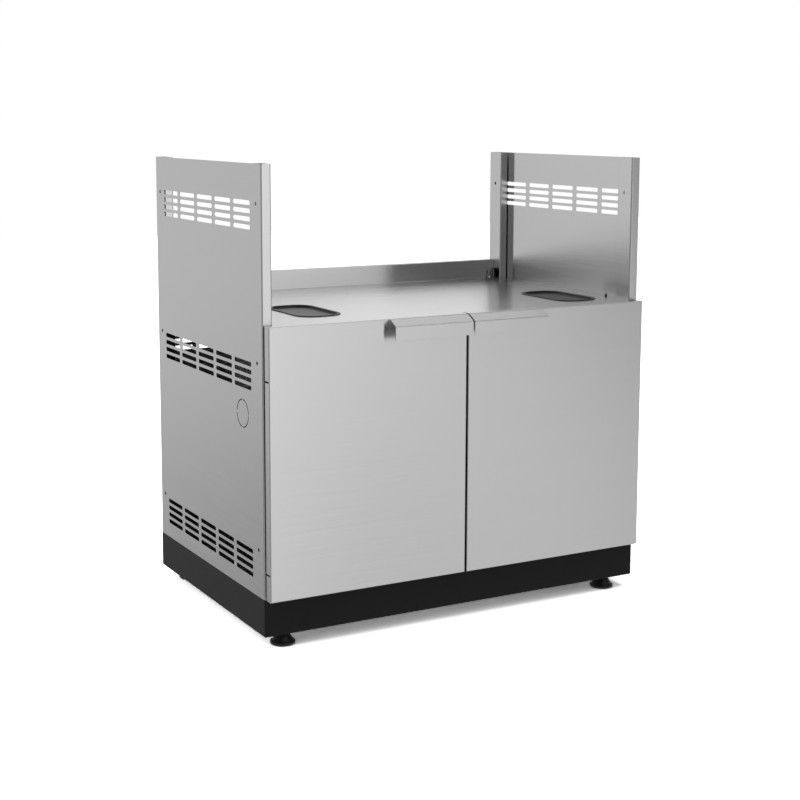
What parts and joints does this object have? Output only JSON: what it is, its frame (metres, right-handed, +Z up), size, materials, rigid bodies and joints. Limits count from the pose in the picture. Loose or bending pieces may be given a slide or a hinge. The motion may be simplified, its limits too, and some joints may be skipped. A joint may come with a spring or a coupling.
{
  "type": "outdoor kitchen cabinet",
  "caption": "Stainless outdoor kitchen base cabinet with overlay doors, a grill deck between tall vented side panels, and a black levelled base.",
  "frame": {"origin": "on the floor, below the centre of the whole object's box", "axes": "+X to the right seen from the doors, +Y to the back, +Z up"},
  "size_m": [0.838, 0.571, 0.894],
  "materials": {
    "brushed_stainless": "brushed along X and along the panels, satin",
    "black_powder_coat": "fine-textured black powder coat",
    "zinc_plated_steel": "bright zinc plating",
    "stainless_fastener": "plain stainless",
    "black_nylon": "moulded, slight gloss",
    "catch_plastic": "moulded grey",
    "ferrite_magnet": "sintered, dull",
    "black_rubber": "moulded rubber, satin",
    "bumper_rubber": "soft grey"
  },
  "bodies": {
    "carcass": {"back_panel": "brushed_stainless", "back_panel_screws": "stainless_fastener", "catch_magnets": "ferrite_magnet", "catch_screws": "stainless_fastener", "deck": "brushed_stainless", "deck_locating_pins": "black_nylon", "deck_rivets": "stainless_fastener", "floor_panel": "brushed_stainless", "floor_screws": "stainless_fastener", "front_base_rail": "black_powder_coat", "front_cross_rail": "brushed_stainless", "front_left_foot_bracket": "zinc_plated_steel", "front_rail_screws": "stainless_fastener", "front_right_foot_bracket": "zinc_plated_steel", "hinge_screws": "stainless_fastener", "left_base_rail": "black_powder_coat", "left_deck_stiffener": "brushed_stainless", "left_grommet": "black_rubber", "left_lower_hinge_bracket": "zinc_plated_steel", "left_magnetic_catch": "catch_plastic", "left_side_panel": "brushed_stainless", "left_upper_hinge_bracket": "zinc_plated_steel", "rear_base_rail": "black_powder_coat", "rear_left_foot_bracket": "zinc_plated_steel", "rear_rail": "brushed_stainless", "rear_rail_screws": "stainless_fastener", "rear_right_foot_bracket": "zinc_plated_steel", "right_base_rail": "black_powder_coat", "right_deck_stiffener": "brushed_stainless", "right_grommet": "black_rubber", "right_lower_hinge_bracket": "zinc_plated_steel", "right_magnetic_catch": "catch_plastic", "right_side_panel": "brushed_stainless", "right_upper_hinge_bracket": "zinc_plated_steel"},
    "left_door": {"left_door_skin": "brushed_stainless", "left_door_liner": "brushed_stainless", "left_door_handle": "brushed_stainless", "left_handle_rivets": "stainless_fastener", "left_hinge_blocks": "zinc_plated_steel", "left_hinge_pins": "zinc_plated_steel", "left_door_bumpers": "bumper_rubber", "left_catch_strike": "zinc_plated_steel"},
    "right_door": {"right_door_skin": "brushed_stainless", "right_door_liner": "brushed_stainless", "right_door_handle": "brushed_stainless", "right_handle_rivets": "stainless_fastener", "right_hinge_blocks": "zinc_plated_steel", "right_hinge_pins": "zinc_plated_steel", "right_door_bumpers": "bumper_rubber", "right_catch_strike": "zinc_plated_steel"},
    "front_left_foot": {"front_left_foot_pad": "black_nylon", "front_left_foot_stud": "zinc_plated_steel"},
    "front_right_foot": {"front_right_foot_pad": "black_nylon", "front_right_foot_stud": "zinc_plated_steel"},
    "rear_left_foot": {"rear_left_foot_pad": "black_nylon", "rear_left_foot_stud": "zinc_plated_steel"},
    "rear_right_foot": {"rear_right_foot_pad": "black_nylon", "rear_right_foot_stud": "zinc_plated_steel"}
  },
  "joints": [
    {"name": "left_door_hinge", "type": "hinge", "parent": "carcass", "child": "left_door", "pos_m": [-0.408, -0.2545, 0.35], "axis": [0, 0, 1], "range_deg": [-110, 0]},
    {"name": "right_door_hinge", "type": "hinge", "parent": "carcass", "child": "right_door", "pos_m": [0.408, -0.2545, 0.35], "axis": [0, 0, 1], "range_deg": [0, 110]},
    {"name": "front_left_foot_screw", "type": "slide", "parent": "carcass", "child": "front_left_foot", "axis": [0, 0, -1], "range_m": [0, 0.025]},
    {"name": "front_right_foot_screw", "type": "slide", "parent": "carcass", "child": "front_right_foot", "axis": [0, 0, -1], "range_m": [0, 0.025]},
    {"name": "rear_left_foot_screw", "type": "slide", "parent": "carcass", "child": "rear_left_foot", "axis": [0, 0, -1], "range_m": [0, 0.025]},
    {"name": "rear_right_foot_screw", "type": "slide", "parent": "carcass", "child": "rear_right_foot", "axis": [0, 0, -1], "range_m": [0, 0.025]}
  ]
}
